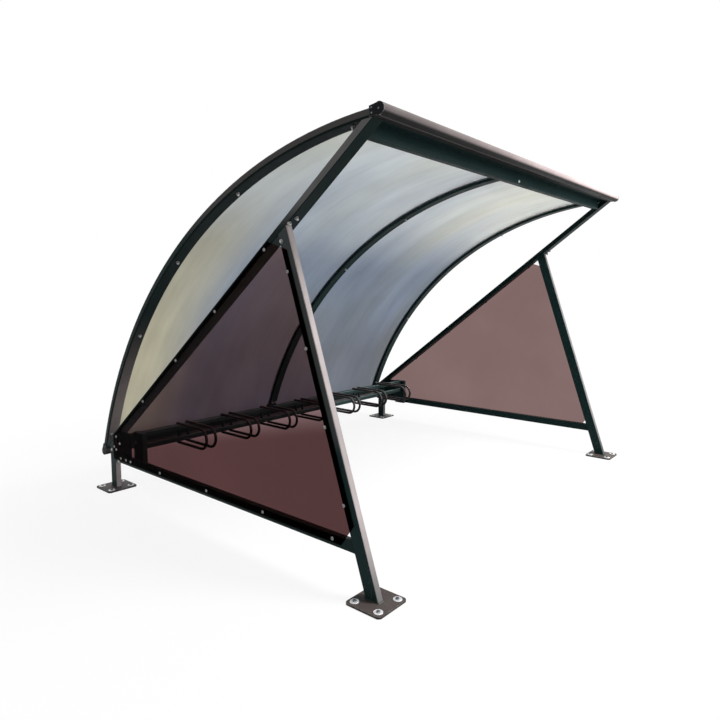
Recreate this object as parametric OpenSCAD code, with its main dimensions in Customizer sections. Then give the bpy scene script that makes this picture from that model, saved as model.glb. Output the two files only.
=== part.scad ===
// Bike shelter: a curved translucent roof on two triangular side frames, with a wheel rack at the back.
// Millimetres, +Z up. The open front faces -Y and +X is to the right of someone who looks in from there.
// The origin is on the ground, under the middle of the whole shelter.
// In the side view, places are [y, z] pairs, with y counted backwards from the middle of the front feet.

/* [Overall] */
// Width over the outer faces of the two side frames
shelter_w = 3090; // [2400:10:4200]
// Distance from the middle of the front feet to the middle of the rear feet
foot_spacing = 2445; // [2250:5:2700]

/* [Roof arch] */
// Radius of the outer face of the ribs
rib_r = 2786; // [2500:1:3400]
// Height of the front ends of the ribs, at their outer face
rib_front_h = 2172; // [2050:1:2400]
// Distance of the ribs' front ends behind the middle of the front feet
rib_front_set = 19; // [0:1:60]
// Height of the rear ends of the ribs, at their outer face
rib_rear_h = 296; // [285:1:380]
// How far the ribs' rear ends reach behind the middle of the rear feet
rib_rear_set = 101; // [90:1:150]
// Depth of the ribs, from the roof sheets inwards
rib_t = 18; // [15:1:30]
// Depth of the soffit strip, from the ribs' front ends back to the front beam
soffit_depth = 65; // [50:1:80]

/* [Tubes] */
// Broad side of the frame tubes
tube_w = 74; // [60:1:80]
// Narrow side of the frame tubes
tube_t = 38; // [28:1:42]
// Wall thickness of the tubes
tube_wall = 2.5; // [2:0.1:4]
// Outer corner radius of the tubes
tube_corner_r = 5; // [4.5:0.1:8]

/* [Feet] */
// Side of the square base plates
plate_side = 207; // [185:1:260]
// Thickness of the base plates
plate_t = 10; // [6:1:16]
// Corner radius of the base plates
plate_corner_r = 20; // [5:1:25]
// Distance between the anchor holes of a base plate
anchor_spacing = 140; // [130:1:150]
// Diameter of the anchor holes
anchor_hole_d = 18; // [12:1:22]

/* [Side frames] */
// Lean of the front legs from the vertical, in degrees
leg_lean = 18.6; // [12:0.1:22]
// Distance of a leg's foot behind the middle of its base plate
leg_foot_set = 11; // [-10:1:15]
// Distance of a rear post in front of the middle of its base plate
post_set = 4; // [0:1:30]
// Height of the underside of the lower rails
rail_h = 202; // [150:1:215]
// Height of the lower rails' tubes
rail_w = 56; // [45:1:70]
// Distance of the diagonal's top edge behind the front ends of the ribs, where it meets them
diagonal_front_set = 49; // [30:1:80]
// Height of the diagonal's top edge above the rear ends of the ribs, where it meets them
diagonal_rear_set = 40; // [25:1:60]
// Thickness of the corner plates between the rails and the rear posts
corner_plate_t = 6; // [4:0.5:10]
// Height of the corner plates' top edge
corner_plate_h = 430; // [400:1:480]

/* [Side panels] */
// Thickness of the smoked side panels
panel_t = 5; // [3:0.5:8]
// How far a panel laps over the underside of the diagonal
panel_diagonal_lap = 25; // [10:1:30]
// How far a panel laps over the rear face of the leg
panel_leg_lap = 39; // [15:1:50]
// How far a panel laps over the front face of the rear post
panel_post_lap = 14; // [8:1:50]
// How far a panel's lower edge stays above the underside of the rail
panel_rail_set = 20; // [2:1:30]
// Length cut off both edges at a panel's front corner
panel_front_clip = 118; // [60:1:160]
// Length cut off both edges at a panel's top corner
panel_top_clip = 130; // [60:1:160]

/* [Roof covering] */
// Thickness of the roof sheets
sheet_t = 16; // [6:1:20]
// Gap between the two roof sheets over the middle rib
sheet_gap = 6; // [2:1:20]
// Thickness of the cover strip, edge trims and soffit
strip_t = 3; // [2:0.5:5]
// Height of the lip of an edge trim
trim_lip = 28; // [15:1:40]

/* [Eave profiles] */
// Depth of an eave profile from the ribs' ends to the tip of its nose
eave_depth = 81; // [70:1:110]
// Radius of the round nose
eave_nose_r = 28.5; // [24:0.5:32]
// Height of the back edge above the ribs' outer face
eave_back_rise = 28.5; // [20:0.5:32]
// Depth of the back edge below the ribs' outer face
eave_back_drop = 15.5; // [10:0.5:20]
// Height of the nose's middle above the ribs' outer face
eave_nose_rise = 7; // [2:0.5:10]
// How far the round nose stands proud of the flat faces behind it
eave_bead = 1.5; // [1:0.25:3]
// Wall thickness of the eave profiles
eave_wall = 3; // [2:0.5:5]
// Thickness of the end caps
cap_t = 5; // [3:0.5:10]

/* [Wheel rack] */
// Side of the two square bars of the rack
rack_bar = 35; // [28:1:50]
// Depth of the rack's uprights from front to back
upright_w = 117; // [70:1:130]
// Distance of the rack's middle in front of the middle of the rear feet
rack_set = 295; // [200:1:500]
// Height of the top of the upper bar
rack_top_h = 442; // [420:1:500]
// Clear height between the two bars
rack_bar_gap = 50; // [30:1:90]
// Diameter of the round bars of the wheel holders
holder_d = 20; // [12:0.5:25]
// Clear width of the slot that takes a wheel
holder_slot = 55; // [40:1:80]
// Reach of the wheel holders in front of the bars
holder_reach = 339; // [250:1:420]
// Distance of the outer wheel holders' middles from the rack's uprights
holder_end_set = 317; // [150:1:400]

/* [Hidden] */

$fn = 48;
arch_facets = 180;
left = 0;
right = 1;
paint = [0.13, 0.14, 0.14];
smoked = [0.33, 0.25, 0.25, 0.6];
frosted = [0.75, 0.78, 0.8, 0.5];

// Clearance of pieces that seat on a curved face
seat_gap = 0.3;
// Overrun of cuts past the faces that they open
overrun = 1;
// Size of the blocks that cut tube ends, larger than the whole side frame
cut_reach = foot_spacing + rib_front_h;

// Circle of the arch, through the front and rear ends of the ribs
rib_front = [rib_front_set, rib_front_h];
rib_rear = [foot_spacing + rib_rear_set, rib_rear_h];
arch_chord = rib_rear - rib_front;
arch_rise = sqrt(rib_r * rib_r - arch_chord * arch_chord / 4);
arch_centre = (rib_front + rib_rear) / 2 + [arch_chord[1], -arch_chord[0]] / norm(arch_chord) * arch_rise;
front_angle = atan2(rib_front[0] - arch_centre[0], rib_front[1] - arch_centre[1]);
rear_angle = atan2(rib_rear[0] - arch_centre[0], rib_rear[1] - arch_centre[1]);
rib_inner_r = rib_r - rib_t;
sheet_r = rib_r + sheet_t;
strip_r = sheet_r + strip_t;

// Front beam: the angle of its middle, behind the front ends of the ribs
front_beam_angle = front_angle + arc_angle(rib_r, soffit_depth) + arc_angle(rib_inner_r, tube_t / 2);

// Diagonal: its top edge is a chord of the ribs' inner face
diagonal_top_y = rib_front_set + diagonal_front_set;
diagonal_low_h = rib_rear_h + diagonal_rear_set;
diagonal_top = [diagonal_top_y, arch_h(rib_inner_r, diagonal_top_y)];
diagonal_low = [arch_y(rib_inner_r, diagonal_low_h), diagonal_low_h];
diagonal_run = norm(diagonal_low - diagonal_top);
diagonal_slope = atan2(diagonal_top[1] - diagonal_low[1], diagonal_low[0] - diagonal_top[0]);
diagonal_dir = [cos(diagonal_slope), -sin(diagonal_slope)];
diagonal_normal = [sin(diagonal_slope), cos(diagonal_slope)];

// Leg, post and rail
leg_foot = [leg_foot_set, plate_t];
leg_dir = [sin(leg_lean), cos(leg_lean)];
leg_normal = [cos(leg_lean), -sin(leg_lean)];
post_y = foot_spacing - post_set;
post_front_y = post_y - tube_w / 2;
rail_top = rail_h + rail_w;

// Side panel corners, where its four edge lines cross
panel_diagonal_p = diagonal_top - diagonal_normal * (tube_t - panel_diagonal_lap);
panel_leg_p = leg_foot + leg_normal * (tube_w / 2 - panel_leg_lap);
panel_low_p = [leg_foot_set, rail_h + panel_rail_set];
panel_rear_p = [post_front_y + panel_post_lap, rail_h];
panel_front_corner = crossing(panel_low_p, [1, 0], panel_leg_p, leg_dir);
panel_top_corner = crossing(panel_diagonal_p, diagonal_dir, panel_leg_p, leg_dir);
panel_points = [
    panel_front_corner + panel_front_clip * [1, 0],
    crossing(panel_low_p, [1, 0], panel_rear_p, [0, 1]),
    crossing(panel_diagonal_p, diagonal_dir, panel_rear_p, [0, 1]),
    panel_top_corner + panel_top_clip * diagonal_dir,
    panel_top_corner - panel_top_clip * leg_dir,
    panel_front_corner + panel_front_clip * leg_dir
];

// Corner plate: between the rack's upright, the rail, the post and the underside of the diagonal
underside_p = diagonal_top - diagonal_normal * tube_t;
rack_y = foot_spacing - rack_set;
corner_front_y = rack_y + upright_w / 2;
corner_points = [
    [corner_front_y, rail_top],
    [post_front_y, rail_top],
    crossing(underside_p, diagonal_dir, [post_front_y, rail_top], [0, 1]),
    crossing(underside_p, diagonal_dir, [corner_front_y, corner_plate_h], [1, 0]),
    [corner_front_y, corner_plate_h]
];

// Across the shelter
side_x = shelter_w / 2;
leg_x = side_x - tube_t / 2;
diagonal_x = side_x - tube_w / 2;
beam_len = shelter_w - 2 * tube_w;

// Eave profile: its nose's middle, in front of the ribs' ends
eave_nose_set = eave_depth - eave_nose_r;
rear_nose = arch_point(rib_r + eave_nose_rise, rear_angle)
    + [cos(rear_angle), -sin(rear_angle)] * eave_nose_set;

// Rack heights and wheel holders
rack_low_h = rack_top_h - rack_bar_gap - 2 * rack_bar;
upright_x = side_x - tube_t - tube_t / 2;
upright_h = rack_top_h - rail_h;
rack_len = beam_len;
holder_count = 7;
holder_pitch = (rack_len - 2 * holder_end_set) / (holder_count - 1);
holder_bend_r = (rack_top_h - rack_low_h + holder_d) / 2;
holder_run = holder_reach - holder_bend_r - holder_d / 2;

// The middle of the shelter from front to back, which the origin lies under
front_reach = max(plate_side / 2, eave_depth - rib_front_set);
rear_reach = max(foot_spacing + plate_side / 2, rear_nose[0] + eave_nose_r);
centre_y = (rear_reach - front_reach) / 2;

function arch_point(r, angle) = arch_centre + r * [sin(angle), cos(angle)];
function arch_h(r, y) = arch_centre[1] + sqrt(r * r - (y - arch_centre[0]) * (y - arch_centre[0]));
function arch_y(r, h) = arch_centre[0] + sqrt(r * r - (h - arch_centre[1]) * (h - arch_centre[1]));
function chord_depth(r, w) = sqrt(r * r - w * w / 4);
function arc_angle(r, length) = length / r * 180 / PI;
function cross2(a, b) = a[0] * b[1] - a[1] * b[0];
function crossing(p, p_dir, q, q_dir) = p + p_dir * cross2(q - p, q_dir) / cross2(p_dir, q_dir);

// Sections

module rounded_rectangle(w, h, r) {
    square([w - 2 * r, h], center = true);
    square([w, h - 2 * r], center = true);
    for (sx = [-1, 1], sy = [-1, 1])
        translate([sx * (w / 2 - r), sy * (h / 2 - r)]) circle(r);
}

module tube_section(w, h) {
    difference() {
        rounded_rectangle(w, h, tube_corner_r);
        rounded_rectangle(w - 2 * tube_wall, h - 2 * tube_wall, tube_corner_r - tube_wall);
    }
}

// Outline of an eave profile, inset by a wall: a tapered box that ends in a round nose
module eave_outline(inset) {
    nose_r = eave_nose_r - inset;
    cheek = nose_r - eave_bead;
    polygon([
        [inset, inset - eave_back_drop],
        [eave_nose_set, eave_nose_rise - cheek],
        [eave_nose_set, eave_nose_rise + cheek],
        [inset, eave_back_rise - inset]
    ]);
    translate([eave_nose_set, eave_nose_rise]) circle(nose_r);
}

// Frames of reference

module on_ground_centre() {
    translate([0, -centre_y, 0]) children();
}

// Pieces are drawn for the left side frame, and mirrored for the right one
module on_side(side) {
    on_ground_centre() mirror([side, 0, 0]) children();
}

// A section in the side view, drawn out across the shelter
module along_x(length) {
    rotate([90, 0, 90]) linear_extrude(length, center = true) children();
}

// Frame whose Z points out of the arch at an angle from the vertical, with Y running back along it
module at_arch(angle) {
    translate([0, arch_centre[0], arch_centre[1]]) rotate([-angle, 0, 0]) children();
}

// A section in [radius, x], bent round the arch from one angle to another
module along_arch(start_angle = front_angle, end_angle = rear_angle) {
    at_arch(0) rotate([0, -90, 0]) rotate([0, 0, start_angle])
        rotate_extrude(angle = end_angle - start_angle, $fn = arch_facets) mirror([0, 1]) children();
}

// Frame whose Y runs down the diagonal, with its top face at Z zero
module at_diagonal() {
    translate([0, diagonal_top[0], diagonal_top[1]]) rotate([-diagonal_slope, 0, 0]) children();
}

// Frame whose Z runs up the leg, from the middle of its foot
module at_leg() {
    translate([0, leg_foot[0], leg_foot[1]]) rotate([-leg_lean, 0, 0]) children();
}

// The room inside the ribs' inner face, wider than the shelter
module inside_ribs() {
    at_arch(0) rotate([0, 90, 0])
        cylinder(r = rib_inner_r - seat_gap, h = 2 * shelter_w, center = true, $fn = arch_facets);
}

// A block over the XY plane, wider than the whole side frame
module block_above() {
    translate([-cut_reach / 2, -cut_reach, 0]) cube([cut_reach, 2 * cut_reach, cut_reach]);
}

module above_diagonal_underside() {
    at_diagonal() translate([0, 0, -tube_t]) block_above();
}

// Feet

module base_plate(side, y) {
    color(paint) on_side(side) translate([-leg_x, y, 0]) difference() {
        linear_extrude(plate_t) rounded_rectangle(plate_side, plate_side, plate_corner_r);
        for (sx = [-1, 1], sy = [-1, 1])
            translate([sx * anchor_spacing / 2, sy * anchor_spacing / 2, -overrun])
                cylinder(d = anchor_hole_d, h = plate_t + 2 * overrun);
    }
}

// Side frames

module front_leg(side) {
    color(paint) on_side(side) difference() {
        translate([-leg_x, 0, 0]) at_leg() translate([0, 0, -tube_w])
            linear_extrude(cut_reach) tube_section(tube_t, tube_w);
        translate([0, 0, plate_t]) mirror([0, 0, 1]) block_above();
        above_diagonal_underside();
    }
}

module rear_post(side) {
    color(paint) on_side(side) difference() {
        translate([-leg_x, post_y, plate_t]) linear_extrude(rib_front_h) tube_section(tube_t, tube_w);
        above_diagonal_underside();
    }
}

module lower_rail(side) {
    color(paint) on_side(side) difference() {
        translate([-leg_x, 0, rail_h + rail_w / 2]) rotate([-90, 0, 0])
            linear_extrude(post_front_y) tube_section(tube_t, rail_w);
        at_leg() translate([0, tube_w / 2, 0]) rotate([90, 0, 0]) block_above();
    }
}

module diagonal(side) {
    color(paint) on_side(side) intersection() {
        translate([-diagonal_x, 0, 0]) at_diagonal()
            translate([0, -2 * tube_w, -tube_t / 2]) rotate([-90, 0, 0])
                linear_extrude(diagonal_run + 4 * tube_w) tube_section(tube_w, tube_t);
        inside_ribs();
    }
}

module corner_plate(side) {
    color(paint) on_side(side) translate([-leg_x, 0, 0]) along_x(corner_plate_t) polygon(corner_points);
}

module side_panel(side) {
    color(smoked) on_side(side) translate([-side_x - panel_t / 2, 0, 0])
        along_x(panel_t) polygon(panel_points);
}

// Roof

module side_rib(side) {
    color(paint) on_side(side) along_arch()
        translate([rib_r - rib_t / 2, -diagonal_x]) tube_section(rib_t, tube_w);
}

// The middle rib starts at the back of the front beam
module middle_rib() {
    color(paint) on_ground_centre() along_arch(front_beam_angle + arc_angle(rib_inner_r, tube_t / 2))
        translate([rib_r - rib_t / 2, 0]) tube_section(rib_t, tube_w);
}

// The front beam stands on edge, close under the roof sheets and a little behind the eave profile
module front_beam() {
    color(paint) on_ground_centre() at_arch(front_beam_angle)
        translate([0, 0, chord_depth(rib_r - seat_gap, tube_t) - tube_w / 2])
            along_x(beam_len) tube_section(tube_t, tube_w);
}

// Strip under the front edge of the roof sheets, from the eave profile to the front beam
module front_soffit() {
    color(paint) on_ground_centre() along_arch(end_angle = front_angle + arc_angle(rib_r, soffit_depth))
        translate([rib_r - strip_t, -beam_len / 2]) square([strip_t, beam_len]);
}

module rear_beam() {
    angle = rear_angle - arc_angle(rib_inner_r, tube_w / 2);
    color(paint) on_ground_centre() at_arch(angle)
        translate([0, 0, chord_depth(rib_inner_r - seat_gap, tube_w) - tube_t / 2])
            along_x(beam_len) tube_section(tube_w, tube_t);
}

module roof_sheet(side) {
    color(frosted) on_side(side) along_arch()
        translate([rib_r, -side_x]) square([sheet_t, side_x - sheet_gap / 2]);
}

// Angle strip over the roof's side edge, with a lip down the outer face of the rib
module edge_trim(side) {
    color(paint) on_side(side) along_arch() polygon([
        [strip_r - trim_lip, -side_x - strip_t],
        [strip_r, -side_x - strip_t],
        [strip_r, -side_x + tube_w],
        [sheet_r, -side_x + tube_w],
        [sheet_r, -side_x],
        [strip_r - trim_lip, -side_x]
    ]);
}

module middle_cover_strip() {
    color(paint) on_ground_centre() along_arch()
        translate([sheet_r, -tube_w / 2]) square([strip_t, tube_w]);
}

// Frame at a rib end, with Y pointing away from the roof: end is -1 at the front and 1 at the rear
module at_rib_end(end) {
    at_arch(end < 0 ? front_angle : rear_angle) translate([0, 0, rib_r])
        mirror([0, end < 0 ? 1 : 0, 0]) children();
}

module eave_profile(end) {
    color(paint) on_ground_centre() at_rib_end(end) along_x(shelter_w) difference() {
        eave_outline(0);
        eave_outline(eave_wall);
    }
}

module eave_cap(end, side) {
    color(paint) on_side(side) at_rib_end(end) translate([-side_x - cap_t / 2, 0, 0])
        along_x(cap_t) eave_outline(0);
}

// Wheel rack

module rack_upright(side) {
    color(paint) on_side(side) translate([-upright_x, rack_y, rail_h]) {
        linear_extrude(upright_h - tube_wall) tube_section(tube_t, upright_w);
        translate([0, 0, upright_h - tube_wall])
            linear_extrude(tube_wall) rounded_rectangle(tube_t, upright_w, tube_corner_r);
    }
}

module rack_cross_bar(h) {
    color(paint) on_ground_centre() translate([0, rack_y, h + rack_bar / 2])
        along_x(rack_len) tube_section(rack_bar, rack_bar);
}

function holder_x(number) = (number - (holder_count + 1) / 2) * holder_pitch;
function holder_bar_x(number, hand) = holder_x(number) + hand * (holder_slot + holder_d) / 2;

module rack_spacers() {
    color(paint) on_ground_centre() for (number = [1 : holder_count], hand = [-1, 1])
        translate([holder_bar_x(number, hand), rack_y, rack_low_h + rack_bar])
            cylinder(d = holder_d, h = rack_bar_gap);
}

// Round bar over the upper rack bar, round a half circle in front and back under the lower bar
module holder_hoop() {
    run = holder_run + rack_bar;
    translate([0, -rack_bar / 2 - holder_run, (rack_top_h + rack_low_h) / 2]) {
        for (end = [-1, 1])
            translate([0, 0, end * holder_bend_r]) rotate([-90, 0, 0]) cylinder(d = holder_d, h = run);
        rotate([0, -90, 0]) rotate([0, 0, 180])
            rotate_extrude(angle = 180) translate([holder_bend_r, 0]) circle(d = holder_d);
    }
}

module wheel_holder(number) {
    color(paint) on_ground_centre() for (hand = [-1, 1])
        translate([holder_bar_x(number, hand), rack_y, 0]) holder_hoop();
}

base_plate(left, 0);  // left_front_base_plate
base_plate(right, 0);  // right_front_base_plate
base_plate(left, foot_spacing);  // left_rear_base_plate
base_plate(right, foot_spacing);  // right_rear_base_plate
front_leg(left);  // left_front_leg
front_leg(right);  // right_front_leg
rear_post(left);  // left_rear_post
rear_post(right);  // right_rear_post
lower_rail(left);  // left_lower_rail
lower_rail(right);  // right_lower_rail
diagonal(left);  // left_diagonal
diagonal(right);  // right_diagonal
corner_plate(left);  // left_corner_plate
corner_plate(right);  // right_corner_plate
side_rib(left);  // left_rib
middle_rib();
side_rib(right);  // right_rib
front_beam();
front_soffit();
rear_beam();
roof_sheet(left);  // left_roof_sheet
roof_sheet(right);  // right_roof_sheet
edge_trim(left);  // left_edge_trim
middle_cover_strip();
edge_trim(right);  // right_edge_trim
eave_profile(-1);  // front_eave_profile
eave_cap(-1, left);  // left_eave_cap
eave_cap(-1, right);  // right_eave_cap
eave_profile(1);  // rear_eave_profile
eave_cap(1, left);  // left_rear_cap
eave_cap(1, right);  // right_rear_cap
side_panel(left);  // left_side_panel
side_panel(right);  // right_side_panel
rack_upright(left);  // left_rack_upright
rack_upright(right);  // right_rack_upright
rack_cross_bar(rack_top_h - rack_bar);  // rack_upper_bar
rack_cross_bar(rack_low_h);  // rack_lower_bar
rack_spacers();
wheel_holder(1);  // wheel_holder_1
wheel_holder(2);  // wheel_holder_2
wheel_holder(3);  // wheel_holder_3
wheel_holder(4);  // wheel_holder_4
wheel_holder(5);  // wheel_holder_5
wheel_holder(6);  // wheel_holder_6
wheel_holder(7);  // wheel_holder_7
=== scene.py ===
import math
import random

import bmesh
import bpy
from mathutils import Matrix, Vector


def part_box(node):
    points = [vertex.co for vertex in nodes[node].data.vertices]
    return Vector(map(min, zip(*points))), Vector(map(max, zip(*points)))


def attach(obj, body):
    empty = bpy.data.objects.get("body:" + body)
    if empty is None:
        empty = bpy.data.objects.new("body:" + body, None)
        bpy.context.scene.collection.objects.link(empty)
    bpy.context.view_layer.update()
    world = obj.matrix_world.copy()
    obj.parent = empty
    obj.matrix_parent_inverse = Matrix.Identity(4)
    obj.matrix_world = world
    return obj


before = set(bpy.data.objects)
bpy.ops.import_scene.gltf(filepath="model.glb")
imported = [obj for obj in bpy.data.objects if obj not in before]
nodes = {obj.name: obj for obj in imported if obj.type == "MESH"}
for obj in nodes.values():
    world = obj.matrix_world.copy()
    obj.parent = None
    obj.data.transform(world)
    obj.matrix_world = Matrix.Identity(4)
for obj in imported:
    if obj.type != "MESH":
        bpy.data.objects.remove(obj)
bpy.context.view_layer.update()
sides = {"left": -1, "right": 1}


# Base plates: square steel plates with rounded corners, welded under the legs and posts.
# They are painted with the frame and scuffed, with painted light on their upper faces and painted
# highlights on their edges, and each is held down by four anchor studs with a washer and a hexagon nut.

def place(tree, kind, inputs=None, **settings):
    """Adds a shader node, sets its options, and fills or links its inputs by name or number."""
    made = tree.nodes.new(kind)
    for option, value in settings.items():
        setattr(made, option, value)
    for socket, value in (inputs or {}).items():
        if isinstance(value, bpy.types.NodeSocket):
            tree.links.new(value, made.inputs[socket])
        else:
            made.inputs[socket].default_value = value
    return made


def effect_group(name, inputs, outputs):
    """Starts a shader node group with float inputs at their default values, and float outputs."""
    tree = bpy.data.node_groups.new(name, "ShaderNodeTree")
    for label, value in inputs.items():
        socket = tree.interface.new_socket(label, in_out="INPUT", socket_type="NodeSocketFloat")
        socket.default_value = value
    for label in outputs:
        tree.interface.new_socket(label, in_out="OUTPUT", socket_type="NodeSocketFloat")
    return tree, tree.nodes.new("NodeGroupInput").outputs, tree.nodes.new("NodeGroupOutput").inputs


def maths(tree, operation, a, b, c=0.0):
    return place(tree, "ShaderNodeMath", {0: a, 1: b, 2: c}, operation=operation).outputs[0]


def axes(tree, vector):
    return place(tree, "ShaderNodeSeparateXYZ", {0: vector}).outputs


def noise(tree, position, scale, detail=3.0, roughness=0.55):
    inputs = {"Vector": position, "Scale": scale, "Detail": detail, "Roughness": roughness}
    return place(tree, "ShaderNodeTexNoise", inputs).outputs["Fac"]


def spread(tree, value, span, result=(0.0, 1.0)):
    """Maps a value smoothly, from a span that it runs through to a span of results."""
    inputs = {"Value": value, "From Min": span[0], "From Max": span[1],
              "To Min": result[0], "To Max": result[1]}
    return place(tree, "ShaderNodeMapRange", inputs, interpolation_type="SMOOTHSTEP").outputs["Result"]


def powder_coat_group():
    """Baked paint: a fine orange-peel skin, slow drifts of tone, and faint handling marks in the gloss."""
    drift_share, grain_share, roughness = 0.6, 0.4, (0.34, 0.52)
    tree, _, out = effect_group("powder_coat", {}, ["Tone", "Roughness", "Height"])
    position = place(tree, "ShaderNodeNewGeometry").outputs["Position"]
    drift = noise(tree, position, scale=2.3, detail=4.0)
    grain = noise(tree, position, scale=38.0)
    marks = noise(tree, position, scale=9.0, detail=6.0, roughness=0.7)
    peel = noise(tree, position, scale=420.0, detail=2.0)
    tone = maths(tree, "MULTIPLY_ADD", drift, drift_share, maths(tree, "MULTIPLY", grain, grain_share))
    tree.links.new(tone, out["Tone"])
    tree.links.new(spread(tree, marks, (0.3, 0.75), roughness), out["Roughness"])
    tree.links.new(peel, out["Height"])
    return tree


def edge_wear_glint_group():
    """Mask of the arrises where paint is rubbed thin or given a painted highlight: it follows the bent normals
    of a small bevel.
    """
    tree, into, out = effect_group("edge_wear_glint", {"Radius": 0.004, "Amount": 0.6}, ["Mask"])
    geometry = place(tree, "ShaderNodeNewGeometry")
    bevel = place(tree, "ShaderNodeBevel", {"Radius": into["Radius"]}, samples=4)
    normals = {0: bevel.outputs["Normal"], 1: geometry.outputs["Normal"]}
    facing = place(tree, "ShaderNodeVectorMath", normals, operation="DOT_PRODUCT").outputs["Value"]
    edge = spread(tree, facing, (0.995, 0.80))
    chips = noise(tree, geometry.outputs["Position"], scale=55.0, detail=5.0, roughness=0.7)
    broken = maths(tree, "MULTIPLY", edge, spread(tree, chips, (0.38, 0.66)))
    tree.links.new(maths(tree, "MULTIPLY", broken, into["Amount"]), out["Mask"])
    return tree


def settled_dust_group():
    """Mask of the dust that settles on faces that look up, and of splashes close to the ground."""
    splash_height = 0.35
    tree, into, out = effect_group("settled_dust", {"Top": 0.4, "Splash": 0.5}, ["Mask"])
    geometry = place(tree, "ShaderNodeNewGeometry")
    position = geometry.outputs["Position"]
    up = axes(tree, geometry.outputs["Normal"])["Z"]
    height = axes(tree, position)["Z"]
    drifts = noise(tree, position, scale=11.0, detail=5.0)
    cloud = spread(tree, drifts, (0.15, 0.85), (0.3, 0.8))
    level = maths(tree, "MULTIPLY", spread(tree, up, (0.3, 1.0)), cloud)
    settled = maths(tree, "MULTIPLY", level, into["Top"])
    drops = noise(tree, position, scale=70.0, detail=4.0, roughness=0.6)
    speckle = spread(tree, drops, (0.52, 0.66))
    low = maths(tree, "MULTIPLY", spread(tree, height, (splash_height, 0.0)), into["Splash"])
    splashed = maths(tree, "MULTIPLY", low, speckle)
    tree.links.new(maths(tree, "MAXIMUM", settled, splashed), out["Mask"])
    return tree


def painted_light_group():
    """Mask of painted light: paint made pale on faces turned to the front, to the sky or outwards, the
    last above a height. It is weaker towards the left end with Across, and near the ground with Foot."""
    half_width, foot_height = 1.6, 0.36
    inputs = {"Front": 1.0, "Up": 0.0, "Out": 0.0, "OutLow": 1.45, "OutHigh": 2.0, "Across": 0.0,
              "Foot": 0.0, "Amount": 0.0}
    tree, into, out = effect_group("painted_light", inputs, ["Mask"])
    geometry = place(tree, "ShaderNodeNewGeometry")
    normal = axes(tree, geometry.outputs["Normal"])
    at = axes(tree, geometry.outputs["Position"])
    front = maths(tree, "MULTIPLY", maths(tree, "MULTIPLY", normal["Y"], -1.0), into["Front"])
    turned_out = maths(tree, "MULTIPLY_ADD", normal["Z"], into["Up"], front)
    outward = maths(tree, "MULTIPLY", normal["X"], maths(tree, "SIGN", at["X"], 0.0))
    above = spread(tree, at["Z"], (into["OutLow"], into["OutHigh"]))
    high = maths(tree, "MULTIPLY", above, into["Out"])
    turned_out = maths(tree, "MULTIPLY_ADD", outward, high, turned_out)
    patch_noise = noise(tree, geometry.outputs["Position"], scale=5.0, detail=5.0, roughness=0.6)
    uneven = spread(tree, patch_noise, (0.25, 0.75), (0.78, 1.0))
    left_end = spread(tree, at["X"], (-half_width, half_width), (1.0, 0.0))
    near_ground = spread(tree, at["Z"], (0.0, foot_height), (1.0, 0.0))
    shaded_end = maths(tree, "MULTIPLY", left_end, into["Across"])
    dimmed_foot = maths(tree, "MULTIPLY", near_ground, into["Foot"])
    kept_share = maths(tree, "MULTIPLY", maths(tree, "SUBTRACT", 1.0, shaded_end),
                  maths(tree, "SUBTRACT", 1.0, dimmed_foot))
    share = maths(tree, "MULTIPLY", kept_share, into["Amount"])
    lit_share = maths(tree, "MULTIPLY", spread(tree, turned_out, (0.45, 0.92)), uneven)
    tree.links.new(maths(tree, "MULTIPLY", lit_share, share), out["Mask"])
    return tree


powder_coat = powder_coat_group()
edge_wear_glint = edge_wear_glint_group()
settled_dust = settled_dust_group()
painted_light = painted_light_group()


def tint(tree, colour_a, colour_b, factor):
    mixed = place(tree, "ShaderNodeMix", data_type="RGBA")
    for socket, value in (("Factor", factor), ("A", colour_a), ("B", colour_b)):
        target = [s for s in mixed.inputs if s.name == socket and s.enabled][0]
        if isinstance(value, bpy.types.NodeSocket):
            tree.links.new(value, target)
        else:
            target.default_value = value
    return [s for s in mixed.outputs if s.enabled][0]


def rgb(red, green, blue):
    return (red, green, blue, 1.0)


def plain(name):
    material = bpy.data.materials.new(name)
    material.use_nodes = True
    return material, material.node_tree, material.node_tree.nodes["Principled BSDF"]


def grain_bump(tree, shader, height, strength, depth):
    bump = place(tree, "ShaderNodeBump", {"Strength": strength, "Distance": depth, "Height": height})
    tree.links.new(bump.outputs["Normal"], shader.inputs["Normal"])


dust_colour, gloss_colour = rgb(0.30, 0.27, 0.23), rgb(0.80, 0.96, 0.95)
dust_dulling = 0.35
whole = (0.0, 1.0)


def painted_metal(name, deep, light, lit_colour, rub_glint_colour, lit_mask=None, rub_glint=0.5, edge_radius=0.004, top=0.2,
                  splash=0.12, gloss=0.06):
    """Powder-coated steel: two tones of one paint, painted light on chosen faces, edges rubbed or given
    painted highlights, settled dust.
    """
    material, tree, shader = plain(name)
    coat = place(tree, "ShaderNodeGroup", node_tree=powder_coat)
    lit_share = place(tree, "ShaderNodeGroup", lit_mask or {}, node_tree=painted_light)
    rub_glint_mask = place(tree, "ShaderNodeGroup", {"Radius": edge_radius, "Amount": rub_glint}, node_tree=edge_wear_glint)
    dust = place(tree, "ShaderNodeGroup", {"Top": top, "Splash": splash}, node_tree=settled_dust)
    colour = tint(tree, deep, light, coat.outputs["Tone"])
    # Painted light: the pale colour goes on the faces that the mask picks.
    colour = tint(tree, colour, lit_colour, lit_share.outputs["Mask"])
    # Edges take one colour, both where paint is rubbed and where it is a painted highlight.
    colour = tint(tree, colour, rub_glint_colour, rub_glint_mask.outputs["Mask"])
    colour = tint(tree, colour, dust_colour, dust.outputs["Mask"])
    tree.links.new(colour, shader.inputs["Base Color"])
    dulled = maths(tree, "MULTIPLY_ADD", dust.outputs["Mask"], dust_dulling, coat.outputs["Roughness"])
    tree.links.new(dulled, shader.inputs["Roughness"])
    shader.inputs["Specular IOR Level"].default_value = gloss
    shader.inputs["Specular Tint"].default_value = gloss_colour
    grain_bump(tree, shader, coat.outputs["Height"], strength=0.12, depth=0.0006)
    return material


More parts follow.
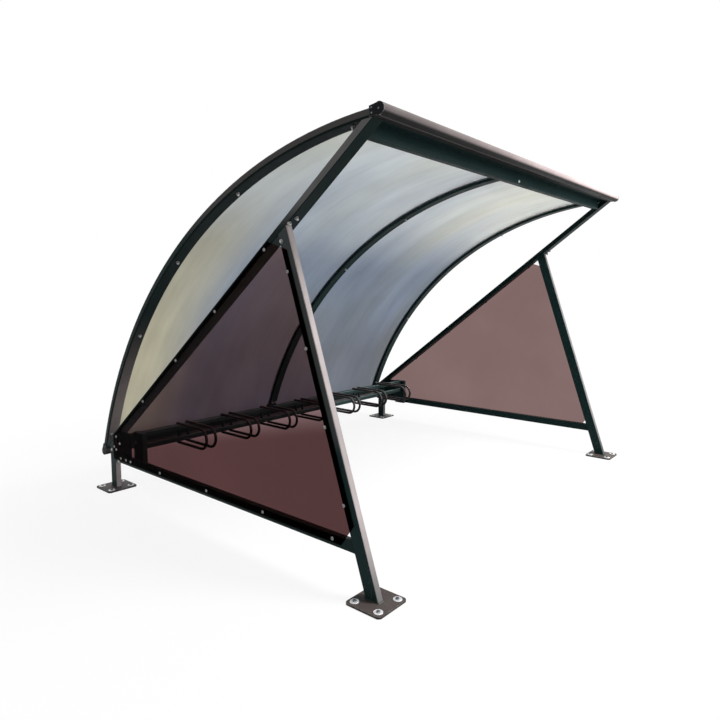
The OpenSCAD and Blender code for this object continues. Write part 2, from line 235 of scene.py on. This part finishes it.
def bare_metal(name, bright, dull, roughness):
    """Zinc-plated steel: a grey metal, mottled, with dull patches and fine grain."""
    patch_dulling = 0.2
    material, tree, shader = plain(name)
    position = place(tree, "ShaderNodeNewGeometry").outputs["Position"]
    mottle = noise(tree, position, scale=90.0, detail=5.0, roughness=0.7)
    patches = spread(tree, mottle, (0.35, 0.7))
    tree.links.new(tint(tree, bright, dull, patches), shader.inputs["Base Color"])
    dulled = spread(tree, patches, whole, (roughness, roughness + patch_dulling))
    tree.links.new(dulled, shader.inputs["Roughness"])
    shader.inputs["Metallic"].default_value = 1.0
    grain_bump(tree, shader, noise(tree, position, scale=700.0, detail=2.0), strength=0.2, depth=0.0003)
    return material


def dress(names, material):
    for name in names:
        nodes[name].data.materials.clear()
        nodes[name].data.materials.append(material)


def seat(point, outward, spin=0.0):
    """Place of a turned shape that stands on a face: its foot at the point, its axis along the normal."""
    facing = Vector(outward).to_track_quat("Z", "Y").to_matrix().to_4x4()
    return Matrix.Translation(point) @ facing @ Matrix.Rotation(spin, 4, "Z")


def turn(shape, seated, profile, steps):
    """Adds a turned shape: (radius, height) pairs in millimetres, from the middle of its foot to its top."""
    rings = []
    for radius, height in profile:
        count = steps if radius else 1
        angles = [2.0 * math.pi * step / steps for step in range(count)]
        points = [Vector((radius * math.cos(a), radius * math.sin(a), height)) / 1000.0 for a in angles]
        rings.append([shape.verts.new(seated @ point) for point in points])
    for lower, upper in zip(rings, rings[1:]):
        for step in range(steps):
            corners = [ring[(step + way) % len(ring)] for ring, way in
                       ((lower, 0), (lower, 1), (upper, 1), (upper, 0))]
            shape.faces.new(list(dict.fromkeys(corners)))


sharp_angle = math.radians(32.0)


def finish_piece(name, shape, material):
    """Turns a built shape into a named piece that rides with the frame, smooth but for its sharp edges."""
    bmesh.ops.recalc_face_normals(shape, faces=shape.faces)
    mesh = bpy.data.meshes.new(name)
    shape.to_mesh(mesh)
    shape.free()
    mesh.polygons.foreach_set("use_smooth", [True] * len(mesh.polygons))
    mesh.set_sharp_from_angle(angle=sharp_angle)
    mesh.materials.append(material)
    made = bpy.data.objects.new(name, mesh)
    bpy.context.scene.collection.objects.link(made)
    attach(made, "root")


def middle(node):
    low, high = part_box(node)
    return (Vector(low) + Vector(high)) / 2.0


plate_names = [f"{side}_{end}_base_plate" for side in sides for end in ("front", "rear")]
# Painted light pales the plates' upper faces, and their pale edges are painted highlights as well as scuffs.
plate_paint = painted_metal("plate_paint", rgb(0.026, 0.023, 0.022), rgb(0.046, 0.040, 0.038),
                            rgb(0.066, 0.048, 0.046), rgb(0.34, 0.31, 0.29),
                            {"Front": 0.0, "Up": 1.0, "Amount": 0.8},
                            rub_glint=0.75, edge_radius=0.006, top=0.16, splash=0.1, gloss=0.2)
dress(plate_names, plate_paint)

zinc = bare_metal("zinc", rgb(0.86, 0.86, 0.86), rgb(0.70, 0.70, 0.70), roughness=0.52)
steel = bare_metal("steel", rgb(0.40, 0.40, 0.40), rgb(0.22, 0.22, 0.22), roughness=0.36)
dark_zinc = bare_metal("dark_zinc", rgb(0.20, 0.21, 0.23), rgb(0.10, 0.105, 0.115), roughness=0.42)
anchor_half_spacing = 0.070
washer = [(0, 0), (22, 0), (22, 2.2), (21.2, 3), (9, 3), (0, 3)]
anchor_nut = [(0, 2.6), (9.2, 2.6), (9.6, 3.2), (9.6, 7.2), (8.8, 8), (5.6, 8), (0, 7.8)]
anchor_stud = [(0, 6), (5.2, 6), (5.2, 9.6), (4.6, 10.4), (0, 10.4)]
washer_steps, stud_steps, hexagon = 32, 16, 6
scatter = random.Random(17)
for name in plate_names:
    washers, nuts = bmesh.new(), bmesh.new()
    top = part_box(name)[1][2]
    for across in (-1, 1):
        for along in (-1, 1):
            foot = middle(name) + anchor_half_spacing * Vector((across, along, 0.0))
            foot.z = top
            seated = seat(foot, (0.0, 0.0, 1.0), scatter.uniform(0.0, 1.0))
            turn(washers, seated, washer, washer_steps)
            turn(nuts, seated, anchor_nut, hexagon)
            turn(nuts, seated, anchor_stud, stud_steps)
    finish_piece(name.replace("base_plate", "anchor_washers"), washers, zinc)
    finish_piece(name.replace("base_plate", "anchor_nuts"), nuts, dark_zinc)


# Side frames: legs, posts, rails and diagonals of rectangular steel tube, cut to the slopes of the
# frame and welded, in a green-black baked paint, with painted light making the fronts of the legs pale.
# A plate closes the corner between each rail and post, and bolts tie it to the diagonal.

dark_deep, dark_light = rgb(0.0055, 0.0185, 0.0185), rgb(0.0150, 0.0350, 0.0345)
lit_taupe, rubbed_bare = rgb(0.48, 0.425, 0.423), rgb(0.12, 0.115, 0.112)
# Painted light pales the faces of this paint that look up.
frame_paint = painted_metal("frame_paint", dark_deep, dark_light, rgb(0.05, 0.05, 0.05), rubbed_bare,
                            {"Front": 0.0, "Up": 1.0, "Amount": 0.4})
dress([f"{side}_{piece}" for side in sides for piece in ("lower_rail", "corner_plate")], frame_paint)
# The diagonals get a darker copy of the frame paint as painted shade, with painted light on their outer faces
# high up and on faces that look up.
diagonal_paint = painted_metal("diagonal_paint", rgb(0.0024, 0.0090, 0.0090), rgb(0.0064, 0.0170, 0.0168),
                               rgb(0.280, 0.280, 0.280), rubbed_bare,
                               {"Front": 0.0, "Up": 0.3, "Out": 1.0, "Amount": 0.9})
dress([f"{side}_diagonal" for side in sides], diagonal_paint)
# Painted light: legs and posts get a lighter copy of the frame paint, pale fronts and a paler band on their
# outer faces, less of it near the ground.
lit_leg_deep, lit_leg_light = rgb(0.0075, 0.0245, 0.0245), rgb(0.0200, 0.0465, 0.0460)
leg_lighting = {
    "left_front_leg": {"Amount": 1.0, "Foot": 0.62},
    "right_front_leg": {"Amount": 0.5, "Foot": 0.62},
    "left_rear_post": {"Amount": 1.0},
    "right_rear_post": {"Amount": 0.6},
}
outer_face = {"Out": 0.56, "OutLow": 0.35, "OutHigh": 0.75}
leg_paints = {}
for name, lit_mask in leg_lighting.items():
    leg_paints[name] = painted_metal(f"{name}_paint", lit_leg_deep, lit_leg_light, lit_taupe, rubbed_bare,
                                     {**outer_face, **lit_mask})
    dress([name], leg_paints[name])

feet_y = middle("left_front_base_plate").y
post_y = middle("left_rear_post").y
leg_x = middle("right_front_leg").x
frame_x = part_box("right_front_leg")[1][0]
tube_half_t = frame_x - leg_x
tube_half_w = 0.037
leg_lean = math.radians(18.6)
leg_half_cut = tube_half_w / math.cos(leg_lean)
leg_foot_set = 0.011
plate_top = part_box("left_front_base_plate")[1][2]
rail_low, rail_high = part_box("left_lower_rail")[0][2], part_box("left_lower_rail")[1][2]


def on_side(side, x, y, z):
    """A point given by its distance from the middle plane, behind the front feet and above the ground."""
    return Vector((sides[side] * x, feet_y + y, z))


def leg_middle(height):
    """How far the middle of a leaning leg is behind the front feet, at a height."""
    return leg_foot_set + (height - plate_top) * math.tan(leg_lean)


def bead(shape, path, radius, closed):
    """Adds a weld bead along a path: a rope of overlapping ripples, slightly uneven."""
    around, steps_a_ripple, ripple = 8, 4, 1.6 * radius
    thin, swelling, unevenness = 0.9, 0.16, 0.05
    steps = []
    for start, end in zip(path, path[1:] + path[:1] if closed else path[1:]):
        pieces = max(1, round((end - start).length / (ripple / steps_a_ripple)))
        steps += [start.lerp(end, piece / pieces) for piece in range(pieces)]
    if not closed:
        steps.append(path[-1])
    rings = []
    for number, point in enumerate(steps):
        before = steps[number - 1] if number or closed else point
        after = steps[(number + 1) % len(steps)] if number + 1 < len(steps) or closed else point
        frame_here = (after - before).normalized().to_track_quat("Z", "Y").to_matrix()
        swell = radius * (thin + swelling * abs(math.sin(number * math.pi / steps_a_ripple))
                          + scatter.uniform(-unevenness, unevenness))
        ring = []
        for corner in range(around):
            angle = 2.0 * math.pi * corner / around
            rim = Vector((math.cos(angle), math.sin(angle), 0.0))
            ring.append(shape.verts.new(point + frame_here @ rim * swell))
        rings.append(ring)
    for first, second in zip(rings, rings[1:] + rings[:1] if closed else rings[1:]):
        for corner in range(around):
            after = (corner + 1) % around
            shape.faces.new((first[corner], first[after], second[after], second[corner]))
    if not closed:
        shape.faces.new(rings[0])
        shape.faces.new(rings[-1])


def foot_outline(foot, half_x, half_y, corner):
    """The outline of a tube that stands on a plate, with rounded corners."""
    corner_turns = (0, 30, 60, 90)
    points = []
    for turn_x, turn_y, start in ((1, 1, 0), (-1, 1, 90), (-1, -1, 180), (1, -1, 270)):
        for corner_turn in corner_turns:
            angle = math.radians(start + corner_turn)
            points.append(foot + Vector((turn_x * (half_x - corner) + corner * math.cos(angle),
                                         turn_y * (half_y - corner) + corner * math.sin(angle), 0.0)))
    return points


foot_bead_r, rail_bead_r, rail_bead_inset, tube_corner_r = 0.0042, 0.0035, 0.004, 0.005
rail_bead_half = tube_half_t - rail_bead_inset
for side in sides:
    welds = bmesh.new()
    leg_foot = on_side(side, leg_x, leg_foot_set, plate_top)
    post_foot = Vector((sides[side] * leg_x, post_y, plate_top))
    bead(welds, foot_outline(leg_foot, tube_half_t, leg_half_cut, tube_corner_r), foot_bead_r, True)
    bead(welds, foot_outline(post_foot, tube_half_t, tube_half_w, tube_corner_r), foot_bead_r, True)
    for height in (rail_low, rail_high):
        for y in (leg_middle(height) + leg_half_cut, post_y - tube_half_w - feet_y):
            ends = [on_side(side, leg_x + way, y, height) for way in (-rail_bead_half, rail_bead_half)]
            bead(welds, ends, rail_bead_r, False)
    finish_piece(f"{side}_frame_welds", welds, leg_paints[f"{side}_front_leg"])

bolt_washer = [(0, -0.4), (11, -0.4), (11, 1.7), (10.5, 2), (6, 2), (0, 2)]
bolt_head = [(0, 1.6), (9.4, 1.6), (9.8, 2.1), (9.8, 7.4), (8.6, 8.4), (0, 8.2)]
dome_nut = [(0, 1.6), (9.4, 1.6), (9.8, 2.1), (9.8, 8.5), (8.2, 9.2), (7.6, 12.6), (5.6, 15.6), (2.6, 17.2),
            (0, 17.6)]
bolt_washer_steps = 24


def hex_bolt(shape, point, outward, head=bolt_head):
    seated = seat(point, outward, scatter.uniform(0.0, 1.0))
    turn(shape, seated, bolt_washer, bolt_washer_steps)
    turn(shape, seated, head, hexagon)


frame_bolt_spots = [(2.447, 0.281), (2.352, 0.213), (0.590, 1.664)]
rack_bolt_spot = (2.176, 0.369)
diagonal_fall = 0.7427
diagonal_slope = math.atan(diagonal_fall)
diagonal_down = Vector((0.0, -math.sin(diagonal_slope), -math.cos(diagonal_slope)))
leg_head_nuts, nut_half_gap, nut_skew = (0.528, 1.7629), 0.016, 0.6
upright_x = -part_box("left_rack_upright")[0][0]
for side in sides:
    bolts = bmesh.new()
    outward = (sides[side], 0.0, 0.0)
    for y, z in frame_bolt_spots:
        hex_bolt(bolts, on_side(side, frame_x, y, z), outward)
    for way in (-nut_half_gap, nut_half_gap):
        y, z = leg_head_nuts
        spot = on_side(side, leg_x + way * nut_skew, y + way, z - diagonal_fall * way)
        hex_bolt(bolts, spot, diagonal_down, dome_nut)
    hex_bolt(bolts, on_side(side, upright_x, *rack_bolt_spot), outward)
    finish_piece(f"{side}_frame_bolts", bolts, steel)


# Ribs and cross beams: flat tubes bent to the roof's arc, one over each side frame and one in the
# middle, between a front and a rear beam. Dome nuts under the ribs close the bolts of the roof.

dress(["front_beam", "front_soffit", "rear_beam", "middle_rib", "right_rib"], frame_paint)
# The left rib gets a darker copy of the paint as painted shade, with painted light paling its faces turned to
# the front and up.
left_rib_paint = painted_metal("left_rib_paint", rgb(0.0024, 0.0080, 0.0080), rgb(0.0062, 0.0150, 0.0148),
                               rgb(0.34, 0.29, 0.285), rubbed_bare, {"Front": 1.1, "Up": 0.5, "Amount": 1.0})
dress(["left_rib"], left_rib_paint)

arc_middle_ahead, arc_middle_depth = 0.0879, 0.61195
arc_middle = Vector((0.0, feet_y - arc_middle_ahead, -arc_middle_depth))
rib_inner_r, rib_outer_r, strip_r = 2.768, 2.786, 2.805
rib_half_x = middle("right_rib").x
bolt_angles = (4.9, 22.7, 37.2, 51.3)
low_bolt_angle, low_bolt_half_gap = 68.9, 0.018


def on_arc(x, radius, angle):
    """A point on the roof's arc and the direction out of the arc there, for an angle back from the top."""
    outward = Vector((0.0, math.sin(math.radians(angle)), math.cos(math.radians(angle))))
    return arc_middle + outward * radius + Vector((x, 0.0, 0.0)), outward


for rib, x in (("left", -rib_half_x), ("middle", 0.0), ("right", rib_half_x)):
    nuts = bmesh.new()
    spots = [(x, angle) for angle in (bolt_angles[1:] if rib == "middle" else bolt_angles)]
    spots += [(x - low_bolt_half_gap, low_bolt_angle), (x + low_bolt_half_gap, low_bolt_angle)]
    for spot_x, angle in spots:
        point, outward = on_arc(spot_x, rib_inner_r, angle)
        hex_bolt(nuts, point, -outward, dome_nut)
    finish_piece(f"{rib}_rib_nuts", nuts, steel)

button_head = [(0, -0.4), (9, -0.4), (9, 0.8), (8.6, 1.1), (7.4, 1.1), (7.4, 1.9), (6.6, 4.0), (5.4, 4.8),
               (4.4, 4.8), (4.2, 0.4), (0, 0.4)]
button_steps = 20
beam_middle_r, beam_angle = 2.730, 3.929
beam_screw = bmesh.new()
beam_spot, beam_out = on_arc(0.0, beam_middle_r, beam_angle)
beam_ahead = Vector((0.0, -beam_out.z, beam_out.y))
turn(beam_screw, seat(beam_spot + beam_ahead * tube_half_t, beam_ahead), button_head, button_steps)
finish_piece("front_beam_screw", beam_screw, zinc)


# Roof sheets: two translucent plastic sheets, bent over the ribs. They are hazy, with lighter and darker
# slanting streaks; painted shade makes them greyer and darker towards the back, painted light brighter
# towards the top right and the front, and a painted warm reflection yellows them low along the left edge.

shade_low, dull = rgb(0.22, 0.24, 0.28), rgb(0.25, 0.30, 0.38)
clear, lit_top = rgb(0.63, 0.68, 0.70), rgb(0.88, 0.90, 0.86)
warm_reflection = rgb(0.49, 0.47, 0.37)
cool, warm = rgb(0.95, 0.99, 1.10), rgb(1.05, 1.02, 0.90)
roof_foot_z, roof_shoulder_z, roof_top_z = 0.7, 1.55, 2.16


def slanted(tree, flat, degrees, across, along):
    """The sheet's flat coordinates, turned and stretched so that noise on them runs in slanting streaks."""
    inputs = {"Vector": flat, "Rotation": (0.0, 0.0, math.radians(degrees)), "Scale": (across, along, 1.0)}
    return place(tree, "ShaderNodeMapping", inputs).outputs[0]


def shaded(tree, colour, level):
    return place(tree, "ShaderNodeVectorMath", {0: colour, "Scale": level}, operation="SCALE").outputs[0]


def roof_sheet_material(name):
    """Hazy plastic that lets most light through. Its streaks run over the sheet as if it were laid flat."""
    material, tree, shader = plain(name)
    at = axes(tree, place(tree, "ShaderNodeNewGeometry").outputs["Position"])
    back = maths(tree, "SUBTRACT", at["Y"], arc_middle.y)
    rise = maths(tree, "SUBTRACT", at["Z"], arc_middle.z)
    along = maths(tree, "MULTIPLY", maths(tree, "ARCTAN2", back, rise), rib_inner_r)
    flat = place(tree, "ShaderNodeCombineXYZ", {"X": at["X"], "Y": along}).outputs[0]
    slant_wide = slanted(tree, flat, degrees=-35.0, across=3.0, along=0.8)
    slant_steep = slanted(tree, flat, degrees=14.0, across=5.5, along=0.7)
    slant_fine = slanted(tree, flat, degrees=-22.0, across=24.0, along=3.0)
    streaks = noise(tree, slant_steep, scale=1.0, detail=2.0, roughness=0.4)
    wide_streaks = noise(tree, slant_wide, scale=1.0, detail=2.0, roughness=0.4)
    fine_streaks = noise(tree, slant_fine, scale=1.0, detail=3.0, roughness=0.6)
    clouds = noise(tree, flat, scale=1.3, detail=2.0, roughness=0.5)
    tinge = noise(tree, slant_wide, scale=0.6, detail=2.0, roughness=0.4)

    # Painted shade low on the sheet, and painted light high up, more of it to the right and front.
    colour = tint(tree, shade_low, dull, spread(tree, at["Z"], (roof_foot_z, roof_shoulder_z)))
    toward_top = spread(tree, at["Z"], (roof_shoulder_z, roof_top_z))
    open_right = spread(tree, at["X"], (-0.8, 1.4))
    open_front = spread(tree, at["Y"], (-0.5, -1.25), (0.0, 0.45))
    open_sky = maths(tree, "ADD", open_right, open_front)
    colour = tint(tree, colour, tint(tree, clear, lit_top, open_sky), toward_top)
    # A painted warm reflection along the left edge, strongest low down.
    left_edge = spread(tree, at["X"], (-0.8, -1.45))
    warm_share = maths(tree, "MULTIPLY", left_edge, spread(tree, toward_top, whole, (1.0, 0.2)))
    colour = tint(tree, colour, warm_reflection, warm_share)
    warmth = tint(tree, cool, warm, spread(tree, tinge, whole))
    colour = place(tree, "ShaderNodeVectorMath", {0: colour, 1: warmth}, operation="MULTIPLY").outputs[0]

    level = spread(tree, clouds, whole, (0.85, 1.15))
    for marks, depth in ((streaks, 0.12), (wide_streaks, 0.12), (fine_streaks, 0.13)):
        level = maths(tree, "ADD", level, spread(tree, marks, whole, (-depth, depth)))
    tree.links.new(shaded(tree, colour, level), shader.inputs["Base Color"])
    tree.links.new(spread(tree, clouds, whole, (0.30, 0.38)), shader.inputs["Roughness"])
    shader.inputs["Transmission Weight"].default_value = 0.85
    shader.inputs["IOR"].default_value = 1.15
    return material


dress(["left_roof_sheet", "right_roof_sheet"], roof_sheet_material("roof_sheet"))


# Edge trims and cover strip: folded metal strips that clamp the sheets to the ribs, with button-head
# bolts through them into the ribs.

# Painted light pales the trims' outer, front and upper faces, and their pale edges are painted highlights as
# well as rubbed paint.
trim_paint = painted_metal("trim_paint", dark_deep, dark_light, rgb(0.13, 0.122, 0.118),
                           rgb(0.16, 0.155, 0.15), {"Front": 0.4, "Up": 0.6, "Out": 1.0, "Amount": 0.9},
                           rub_glint=0.8)
strips = {"left_edge_trim": -rib_half_x, "middle_cover_strip": 0.0, "right_edge_trim": rib_half_x}
dress(strips, trim_paint)
for strip, x in strips.items():
    heads = bmesh.new()
    for angle in bolt_angles + (low_bolt_angle,):
        point, outward = on_arc(x, strip_r, angle)
        turn(heads, seat(point, outward), button_head, button_steps)
    finish_piece(f"{strip}_bolts", heads, steel)


# Eave profiles: drawn metal profiles with a round nose along the front and rear edges of the roof,
# with a thin drip bead below. Moulded dark caps close their ends, each held by three small screws.

# Painted light: the eave's pale colour lies on faces turned to the front and up, fading towards the left end.
eave_paint = painted_metal("eave_paint", rgb(0.016, 0.015, 0.015), rgb(0.026, 0.024, 0.024),
                           rgb(0.62, 0.51, 0.505), rgb(0.34, 0.30, 0.29),
                           {"Front": 0.95, "Up": 0.5, "Amount": 1.0, "Across": 0.8})
dress(["front_eave_profile", "rear_eave_profile"], eave_paint)
# Painted light pales the caps' front and upper faces, and their light rims are painted highlights as well as
# rubbed edges.
cap_paint = painted_metal("cap_plastic", rgb(0.010, 0.011, 0.012), rgb(0.022, 0.023, 0.024),
                          rgb(0.10, 0.10, 0.10), rgb(0.62, 0.60, 0.66),
                          {"Front": 0.9, "Up": 0.5, "Amount": 0.6}, rub_glint=1.0)
dress([f"{side}_{end}_cap" for side in sides for end in ("eave", "rear")], cap_paint)
# The drip bead is painted lighter than the eave, for the light it catches from below.
drip_paint = painted_metal("drip_paint", rgb(0.05, 0.052, 0.052), rgb(0.075, 0.076, 0.075),
                           rgb(0.12, 0.11, 0.11), rgb(0.2, 0.19, 0.18))

eave_ends = {"eave": (2.199, -1), "rear": (70.98, 1)}
nose_reach, nose_rise, nose_r = 0.0525, 0.007, 0.0285
drip_r, drip_sides = 0.003, 12


def rib_end(x, angle, way):
    """A point at one end of the roof's arc, with the directions away from the roof and out of the arc."""
    point, outward = on_arc(x, rib_outer_r, angle)
    return point, way * Vector((0.0, outward.z, -outward.y)), outward


for end, (angle, way) in eave_ends.items():
    edge, ahead, outward = rib_end(0.0, angle, way)
    below = edge + ahead * nose_reach + outward * (nose_rise - nose_r)
    drip = bmesh.new()
    rings = []
    for x in (-frame_x, frame_x):
        angles = [2.0 * math.pi * corner / drip_sides for corner in range(drip_sides)]
        corners = [Vector((x, drip_r * math.cos(a), drip_r * math.sin(a))) for a in angles]
        rings.append([drip.verts.new(below + corner) for corner in corners])
        drip.faces.new(rings[-1])
    for corner in range(drip_sides):
        after = (corner + 1) % drip_sides
        drip.faces.new((rings[0][corner], rings[0][after], rings[1][after], rings[1][corner]))
    finish_piece(f"{end}_drip_bead", drip, drip_paint)

small_screw = [(0, -0.4), (4.4, -0.4), (4.4, 1.2), (3.6, 2.4), (2, 3), (2, 1.4), (0, 1.4)]
small_screw_steps = 14
cap_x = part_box("right_eave_cap")[1][0]
cap_screw_spots = ((0.014, -0.004), (0.014, 0.018), (0.052, 0.007))
for side in sides:
    for end, (angle, way) in eave_ends.items():
        edge, ahead, outward = rib_end(sides[side] * cap_x, angle, way)
        screws = bmesh.new()
        for reach, rise in cap_screw_spots:
            seated = seat(edge + ahead * reach + outward * rise, (sides[side], 0.0, 0.0))
            turn(screws, seated, small_screw, small_screw_steps)
        finish_piece(f"{side}_{end}_cap_screws", screws, dark_zinc)


# Side panels: smoked clear plastic, screwed to the outer faces of the side frames with button-head screws.
# The left one carries painted light high up at the front, painted shade at the back and a red-brown
# painted shade at its foot, reaching higher towards the front; the right one, of the same plastic, has a plain
# darker tint.

# Both panels are the same plastic; their two tints are painted light and shade.
smoke_left, smoke_right = rgb(0.31, 0.21, 0.22), rgb(0.228, 0.148, 0.143)
lit_smoke, shaded_smoke, shaded_red_foot = rgb(0.49, 0.30, 0.26), rgb(0.22, 0.17, 0.20), rgb(0.100, 0.046, 0.047)
foot_slope = 0.22


def smoked_material(name, smoke, light_and_shade):
    """Smoked plastic with painted light high up at the front, painted shade at the back and a red-brown
    painted shade at the foot.
    """
    material, tree, shader = plain(name)
    position = place(tree, "ShaderNodeNewGeometry").outputs["Position"]
    at = axes(tree, position)
    # Painted light and shade: pale high up at the front, dark at the back, and dark red-brown at the foot.
    high_up = spread(tree, at["Z"], (0.75, 1.5), (0.0, light_and_shade))
    lit_high_front = maths(tree, "MULTIPLY", high_up, spread(tree, at["Y"], (0.4, -1.0)))
    colour = tint(tree, smoke, lit_smoke, lit_high_front)
    colour = tint(tree, colour, shaded_smoke, spread(tree, at["Y"], (0.0, 1.1), (0.0, light_and_shade)))
    foot_line = maths(tree, "MULTIPLY_ADD", at["Y"], foot_slope, at["Z"])
    colour = tint(tree, colour, shaded_red_foot, spread(tree, foot_line, (0.74, 0.52), (0.0, light_and_shade)))
    haze = noise(tree, position, scale=1.7, detail=4.0, roughness=0.5)
    colour = shaded(tree, colour, spread(tree, haze, (0.3, 0.7), (0.94, 1.06)))
    tree.links.new(colour, shader.inputs["Base Color"])
    smears = noise(tree, position, scale=6.0, detail=6.0, roughness=0.65)
    tree.links.new(spread(tree, smears, (0.35, 0.75), (0.005, 0.03)), shader.inputs["Roughness"])
    shader.inputs["Transmission Weight"].default_value = 1.0
    shader.inputs["IOR"].default_value = 1.03
    return material


dress(["left_side_panel"], smoked_material("smoked_left", smoke_left, light_and_shade=1.0))
dress(["right_side_panel"], smoked_material("smoked_right", smoke_right, light_and_shade=0.0))
panel_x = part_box("right_side_panel")[1][0]
rail_screw_z, leg_screw_set = 0.241, 0.0275
diagonal_head_y, diagonal_head_z = 0.068, 2.112
panel_screws = [(y, rail_screw_z) for y in (0.252, 0.768, 1.284, 1.800, 2.179, 2.243, 2.315)]
panel_screws += [(y, diagonal_head_z - diagonal_fall * (y - diagonal_head_y))
                 for y in (0.719, 1.156, 1.572, 1.983)]
panel_screws += [(leg_middle(z) + leg_screw_set, z) for z in (1.514, 1.142, 0.775, 0.420)]
panel_screws += [(2.373, 0.388), (2.324, 0.345), (2.404, 0.311), (2.377, 0.294)]
for side in sides:
    screws = bmesh.new()
    for y, z in panel_screws:
        seated = seat(on_side(side, panel_x, y, z), (sides[side], 0.0, 0.0))
        turn(screws, seated, button_head, button_steps)
    finish_piece(f"{side}_panel_screws", screws, steel)


# Wheel rack: two square bars on end uprights, with pairs of bent round bars as holders, all welded
# and painted. Painted light pales the upper and front faces, and the round bars have a browner, lighter
# paint, lightened in part as painted light.

rack_paint = painted_metal("rack_paint", dark_deep, dark_light, rgb(0.24, 0.35, 0.34), rubbed_bare,
                           {"Front": 0.6, "Up": 0.9, "Amount": 0.85})
dress([f"{side}_rack_upright" for side in sides], rack_paint)
dress(["rack_upper_bar", "rack_lower_bar", "rack_spacers"], rack_paint)
# The round bars' paint is lighter and browner, partly as painted light, and painted light pales their upper
# and front faces.
holder_paint = painted_metal("holder_paint", rgb(0.030, 0.026, 0.025), rgb(0.052, 0.045, 0.043),
                             rgb(0.32, 0.285, 0.290), rubbed_bare, {"Front": 0.6, "Up": 0.9, "Amount": 0.8})
dress([name for name in nodes if name.startswith("wheel_holder_")], holder_paint)


# Ground and light: a floor and an even surround that camera, glossy and transmission rays see as
# white, with a faint shadow kept on the floor near the object. A high key lamp stands in front, and
# a low soft box to the right gives the gloss on the tubes.

white = rgb(1.0, 1.0, 1.0)


def seen_rays(tree):
    """Masks of all rays that show the background, direct, off a gloss or through a clear piece, and of
    the direct ones alone."""
    path = place(tree, "ShaderNodeLightPath").outputs
    seen = maths(tree, "MAXIMUM", path["Is Camera Ray"], path["Is Glossy Ray"])
    return maths(tree, "MAXIMUM", seen, path["Is Transmission Ray"]), path["Is Camera Ray"]


fill_level = 0.32
world = bpy.data.worlds.new("surround")
bpy.context.scene.world = world
world.use_nodes = True
surround = world.node_tree
background = surround.nodes["Background"]
background.inputs["Color"].default_value = white
seen, _ = seen_rays(surround)
surround.links.new(spread(surround, seen, whole, (fill_level, 1.0)), background.inputs["Strength"])

floor_size, floor_drop = 60.0, 0.0005
shadow_keep, shadow_fade = 0.11, (1.6, 4.2)
floor_grey, floor_pale = rgb(0.38, 0.36, 0.36), rgb(0.9, 0.9, 0.9)
bpy.ops.mesh.primitive_plane_add(size=floor_size, location=(0.0, 0.0, -floor_drop))
floor = bpy.context.object
floor.name = "floor"
floor_material, tree, floor_shader = plain("floor_white")
floor_shader.inputs["Roughness"].default_value = 1.0
floor_shader.inputs["Specular IOR Level"].default_value = 0.0
seen, from_camera = seen_rays(tree)
tree.links.new(tint(tree, floor_grey, floor_pale, from_camera), floor_shader.inputs["Base Color"])
floor_position = place(tree, "ShaderNodeNewGeometry").outputs["Position"]
distance = place(tree, "ShaderNodeVectorMath", {0: floor_position}, operation="LENGTH").outputs["Value"]
whiteness = spread(tree, distance, shadow_fade, (1.0 - shadow_keep, 1.0))
share = maths(tree, "MULTIPLY", seen, whiteness)
glow = place(tree, "ShaderNodeEmission", {"Color": white, "Strength": 1.0})
mixed = place(tree, "ShaderNodeMixShader", {0: share, 1: floor_shader.outputs[0], 2: glow.outputs[0]})
tree.links.new(mixed.outputs[0], tree.nodes["Material Output"].inputs["Surface"])
floor.data.materials.append(floor_material)


def soft_lamp(name, location, target, size, power):
    lamp = bpy.data.lights.new(name, "AREA")
    lamp.shape = "DISK"
    lamp.size = size
    lamp.energy = power
    holder = bpy.data.objects.new(name, lamp)
    holder.location = location
    holder.rotation_euler = (Vector(target) - Vector(location)).to_track_quat("-Z", "Y").to_euler()
    bpy.context.scene.collection.objects.link(holder)
    holder.visible_camera = False
    holder.visible_transmission = False


soft_lamp("key_lamp", location=(1.8, -5.0, 7.5), target=(0.0, 0.0, 1.0), size=3.0, power=800.0)
soft_lamp("gloss_box", location=(2.0, -4.9, 2.3), target=(-1.5, -1.0, 0.9), size=2.4, power=110.0)


# Viewpoint: the photograph's, from the front left at eye height.

camera_place = Vector((-3.4675, -2.853348, 1.426))
camera_yaw = math.radians(50.463)
camera_pitch = math.radians(-5.133)
image_size = 720.0
focal_pixels = 576.34
principal_point = (376.66, 341.44)
camera_data = bpy.data.cameras.new("camera")
camera = bpy.data.objects.new("camera", camera_data)
bpy.context.scene.collection.objects.link(camera)
camera_data.sensor_width = 36.0
camera_data.lens = focal_pixels * camera_data.sensor_width / image_size
camera_data.shift_x = 0.5 - principal_point[0] / image_size
camera_data.shift_y = principal_point[1] / image_size - 0.5
forward = Vector((math.sin(camera_yaw) * math.cos(camera_pitch),
                  math.cos(camera_yaw) * math.cos(camera_pitch), math.sin(camera_pitch)))
camera.location = camera_place
camera.rotation_euler = forward.to_track_quat("-Z", "Y").to_euler()
bpy.context.scene.camera = camera
bpy.context.scene.view_settings.view_transform = "Standard"
